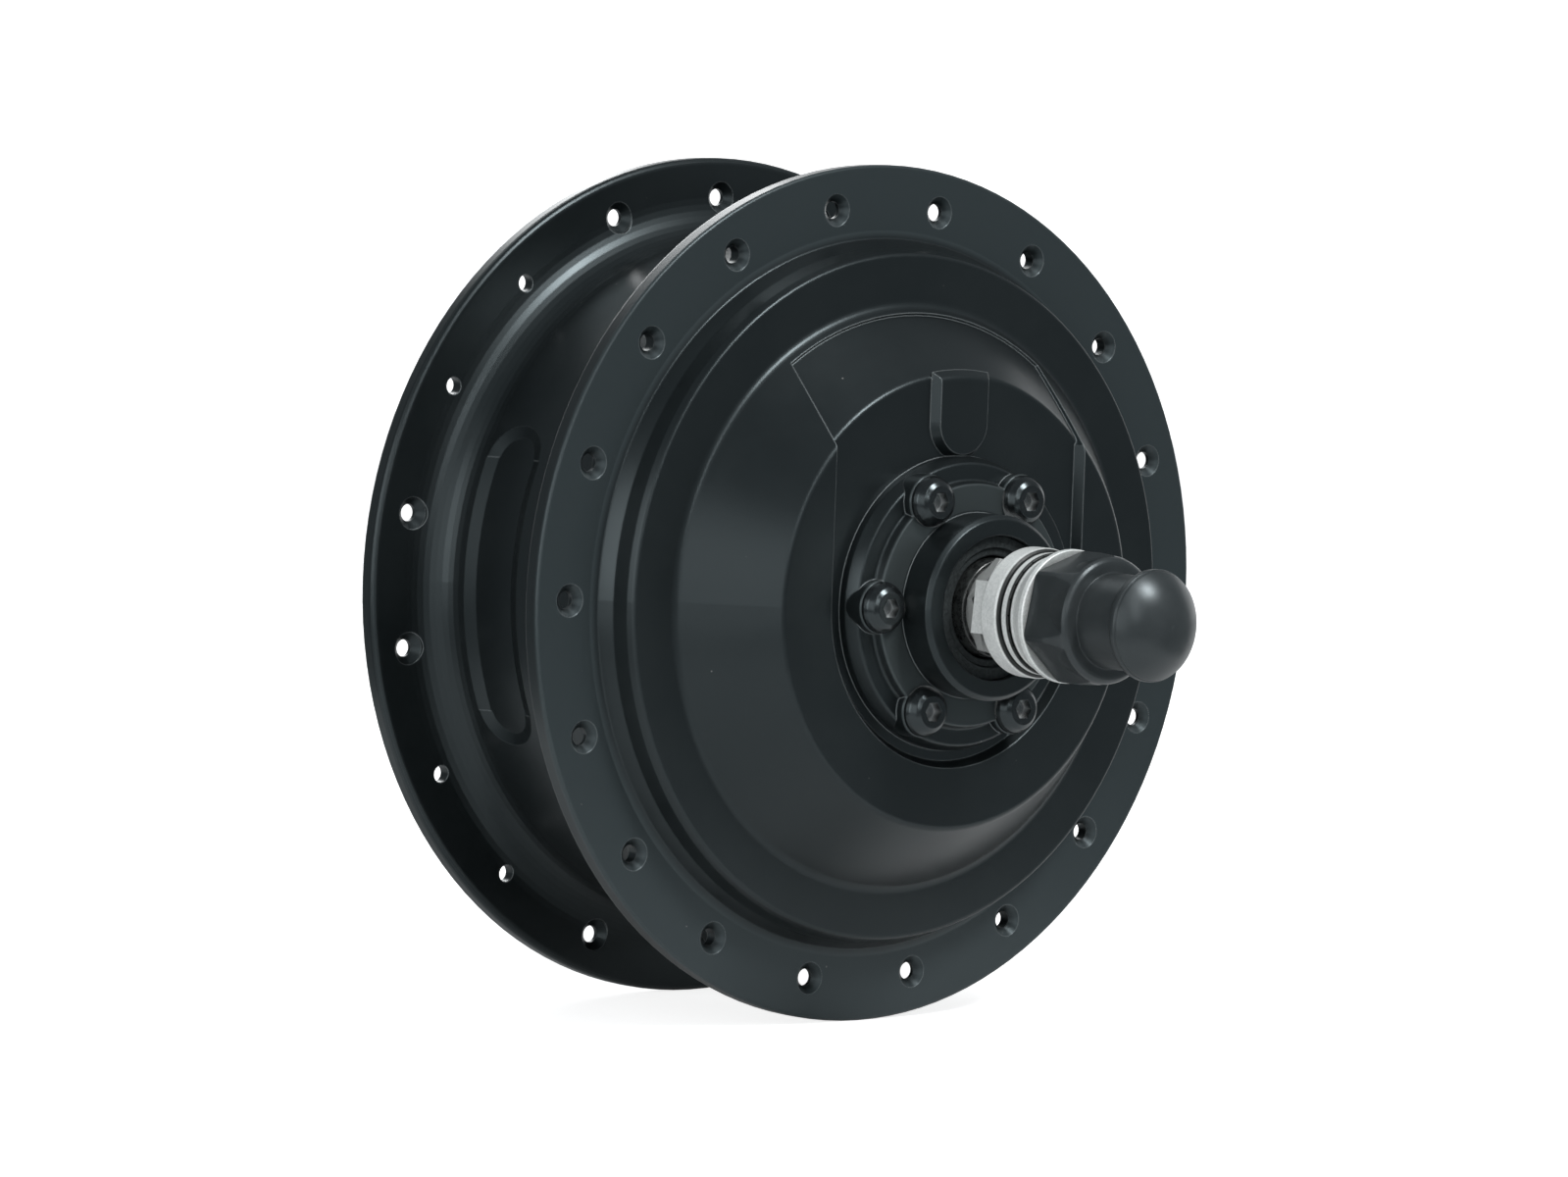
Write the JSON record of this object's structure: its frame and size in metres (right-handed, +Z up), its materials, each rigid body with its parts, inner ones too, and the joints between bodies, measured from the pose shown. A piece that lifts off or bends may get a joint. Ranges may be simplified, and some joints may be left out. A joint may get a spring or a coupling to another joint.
{
  "type": "geared hub motor",
  "caption": "Rear wheel hub motor with a spoked, disc-braked shell that turns on a fixed axle through a planetary reduction gear.",
  "frame": {"origin": "on the axle's axis, half way between the tips of the two nut caps", "axes": "+Y along the axle towards the disc brake side, +Z up with the tongue of the cover, +X towards the side of the drum with the bare panel"},
  "size_m": [0.159, 0.2118, 0.159],
  "materials": {
    "shell_paint": "satin black paint with fine grain on a die-cast aluminium shell",
    "gasket_rubber": "flat gasket sheet",
    "black_steel": "black oxide, half gloss",
    "gear_steel": "cut and hardened steel",
    "bearing_steel": "ground bearing steel",
    "seal_rubber": "dusty rubber",
    "axle_steel": "turned steel",
    "cast_aluminium": "as cast",
    "lamination_steel": "stacked electrical sheet",
    "copper": "enamelled copper wire",
    "board": "glass fibre circuit board",
    "zinc_plate": "bright zinc plate, fine speckle",
    "cap_rubber": "satin moulded rubber",
    "rotor_steel": "turned steel, light oil",
    "magnet": "nickel plate",
    "bush_bronze": "sintered bronze",
    "gear_nylon": "moulded nylon with a film of grease"
  },
  "bodies": {
    "axle": {"axle": "axle_steel", "axle_circlips": "black_steel", "stator_key": "axle_steel", "stator_carrier": "cast_aluminium", "stator_core": "lamination_steel", "stator_windings": "copper", "hall_board": "board", "disc_bearing_inner": "bearing_steel", "disc_bearing_balls": "bearing_steel", "drive_bearing_inner": "bearing_steel", "drive_bearing_balls": "bearing_steel", "rotor_bearing_inner": "bearing_steel", "rotor_bearing_balls": "bearing_steel", "clutch_inner_race": "bearing_steel", "clutch_rollers": "bearing_steel", "planet_carrier": "gear_steel", "planet_pins": "bearing_steel", "planet_spacers": "bearing_steel", "planet_bearing_inners": "bearing_steel", "planet_bearing_balls": "bearing_steel", "spacer_sleeve": "zinc_plate", "lock_nut": "zinc_plate", "disc_torque_washer": "zinc_plate", "drive_torque_washer": "zinc_plate", "disc_serrated_washer": "zinc_plate", "drive_serrated_washer": "zinc_plate", "disc_axle_nut": "zinc_plate", "drive_axle_nut": "zinc_plate", "disc_nut_cap": "cap_rubber", "drive_nut_cap": "cap_rubber", "cable_grommet": "cap_rubber"},
    "hub": {"hub_shell": "shell_paint", "side_cover": "shell_paint", "cover_gasket": "gasket_rubber", "cover_screws": "black_steel", "disc_screws": "black_steel", "ring_gear": "gear_steel", "ring_gear_screws": "black_steel", "disc_bearing_outer": "bearing_steel", "drive_bearing_outer": "bearing_steel", "disc_side_seal": "seal_rubber", "drive_side_seal": "seal_rubber"},
    "rotor": {"rotor_bell": "rotor_steel", "rotor_magnets": "magnet", "sun_gear": "gear_steel", "sun_gear_screws": "black_steel", "sun_bush": "bush_bronze", "rotor_bearing_outer": "bearing_steel"},
    "planet_1": {"planet_gear_1": "gear_nylon", "planet_bearing_1": "bearing_steel"},
    "planet_2": {"planet_gear_2": "gear_nylon", "planet_bearing_2": "bearing_steel"},
    "planet_3": {"planet_gear_3": "gear_nylon", "planet_bearing_3": "bearing_steel"}
  },
  "joints": [
    {"name": "hub_spin", "type": "hinge", "parent": "axle", "child": "hub", "pos_m": [0, 0, 0], "axis": [0, 1, 0], "continuous": true},
    {"name": "rotor_spin", "type": "hinge", "parent": "axle", "child": "rotor", "pos_m": [0, 0, 0], "axis": [0, 1, 0], "continuous": true},
    {"name": "planet_1_spin", "type": "hinge", "parent": "axle", "child": "planet_1", "pos_m": [0, 0.0225, 0.0297], "axis": [0, 1, 0], "continuous": true},
    {"name": "planet_2_spin", "type": "hinge", "parent": "axle", "child": "planet_2", "pos_m": [0.02572, 0.0225, -0.01485], "axis": [0, 1, 0], "continuous": true},
    {"name": "planet_3_spin", "type": "hinge", "parent": "axle", "child": "planet_3", "pos_m": [-0.02572, 0.0225, -0.01485], "axis": [0, 1, 0], "continuous": true}
  ],
  "couplings": [
    {"joint": "rotor_spin", "follows": "hub_spin", "ratio": -5},
    {"joint": "planet_1_spin", "follows": "hub_spin", "ratio": 2.5},
    {"joint": "planet_2_spin", "follows": "hub_spin", "ratio": 2.5},
    {"joint": "planet_3_spin", "follows": "hub_spin", "ratio": 2.5}
  ]
}
